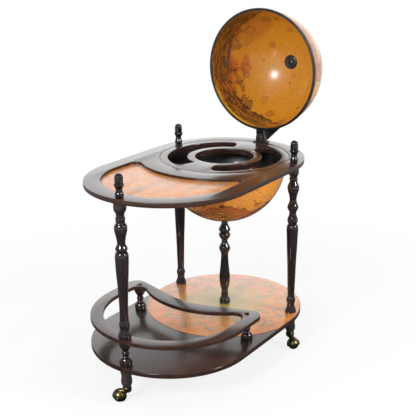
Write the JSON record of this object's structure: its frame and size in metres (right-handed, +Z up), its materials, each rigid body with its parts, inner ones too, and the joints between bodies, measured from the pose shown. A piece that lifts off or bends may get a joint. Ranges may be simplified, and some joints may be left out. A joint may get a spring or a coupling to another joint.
{
  "type": "floor globe bar",
  "caption": "Drinks trolley with a hinged globe over a bottle well, long round-ended shelves, turned legs, a bottle rail and ball casters.",
  "frame": {"origin": "middle of the bar's box, on the floor, with the lid standing open", "axes": "+Z up; +X from the front leg towards the hinge and the open lid; +Y to the left side leg"},
  "size_m": [1.0033, 0.5332, 1.0945],
  "materials": {
    "dark_wood": "gloss lacquer on dark brown wood",
    "turned_wood": "gloss lacquer, near black",
    "top_print": "lacquered orange map print",
    "lower_print": "lacquered orange map print",
    "globe_skin": "lacquered ochre map print",
    "black_trim": "gloss black",
    "black_metal": "satin black",
    "brass": "antique, polished",
    "steel": "plain"
  },
  "bodies": {
    "frame": {"top_shelf": "dark_wood", "top_map_panel": "top_print", "lower_shelf": "dark_wood", "lower_map_disc": "lower_print", "leg_front": "turned_wood", "foot_front": "turned_wood", "finial_front": "turned_wood", "top_stud_front": "steel", "lower_stud_front": "steel", "leg_left": "turned_wood", "foot_left": "turned_wood", "finial_left": "turned_wood", "top_stud_left": "steel", "lower_stud_left": "steel", "leg_right": "turned_wood", "foot_right": "turned_wood", "finial_right": "turned_wood", "top_stud_right": "steel", "lower_stud_right": "steel", "bottle_rail": "dark_wood", "rail_post_front": "turned_wood", "rail_post_left": "turned_wood", "rail_cap_left": "brass", "rail_rod_left": "steel", "rail_post_right": "turned_wood", "rail_cap_right": "brass", "rail_rod_right": "steel", "globe_bowl": "globe_skin", "globe_floor": "black_trim", "ring_insert": "dark_wood", "column": "turned_wood", "bowl_bolt": "steel", "column_bolt": "steel", "hinge_base": "black_metal", "hinge_pin": "brass", "hinge_screw_left": "brass", "hinge_screw_right": "brass", "caster_socket_front": "brass", "caster_socket_left": "brass", "caster_socket_right": "brass"},
    "lid": {"globe_lid": "globe_skin", "lid_rim_band": "black_trim", "pole_cap_inner": "brass", "pole_cap_outer": "brass", "hinge_arm": "black_metal", "arm_screw_left": "brass", "arm_screw_right": "brass"},
    "caster_front": {"caster_stem_front": "steel", "caster_hood_front": "brass", "caster_axle_front": "steel"},
    "ball_front": {"caster_ball_front": "black_trim"},
    "caster_left": {"caster_stem_left": "steel", "caster_hood_left": "brass", "caster_axle_left": "steel"},
    "ball_left": {"caster_ball_left": "black_trim"},
    "caster_right": {"caster_stem_right": "steel", "caster_hood_right": "brass", "caster_axle_right": "steel"},
    "ball_right": {"caster_ball_right": "black_trim"}
  },
  "joints": [
    {"name": "lid_hinge", "type": "hinge", "parent": "frame", "child": "lid", "pos_m": [0.29827, 0, 0.657], "axis": [0, -1, 0], "range_deg": [0, 90]},
    {"name": "swivel_front", "type": "hinge", "parent": "frame", "child": "caster_front", "pos_m": [-0.46773, 0, 0.05], "axis": [0, 0, 1], "continuous": true},
    {"name": "roll_front", "type": "hinge", "parent": "caster_front", "child": "ball_front", "pos_m": [-0.47691, 0.02272, 0.0185], "axis": [-0.9272, -0.3746, 0], "continuous": true},
    {"name": "swivel_left", "type": "hinge", "parent": "frame", "child": "caster_left", "pos_m": [0.12227, 0.22489, 0.05], "axis": [0, 0, 1], "continuous": true},
    {"name": "roll_left", "type": "hinge", "parent": "caster_left", "child": "ball_left", "pos_m": [0.10893, 0.24544, 0.0185], "axis": [-0.8387, -0.5446, 0], "continuous": true},
    {"name": "swivel_right", "type": "hinge", "parent": "frame", "child": "caster_right", "pos_m": [0.12227, -0.22489, 0.05], "axis": [0, 0, 1], "continuous": true},
    {"name": "roll_right", "type": "hinge", "parent": "caster_right", "child": "ball_right", "pos_m": [0.10893, -0.24544, 0.0185], "axis": [0.8387, -0.5446, 0], "continuous": true}
  ]
}
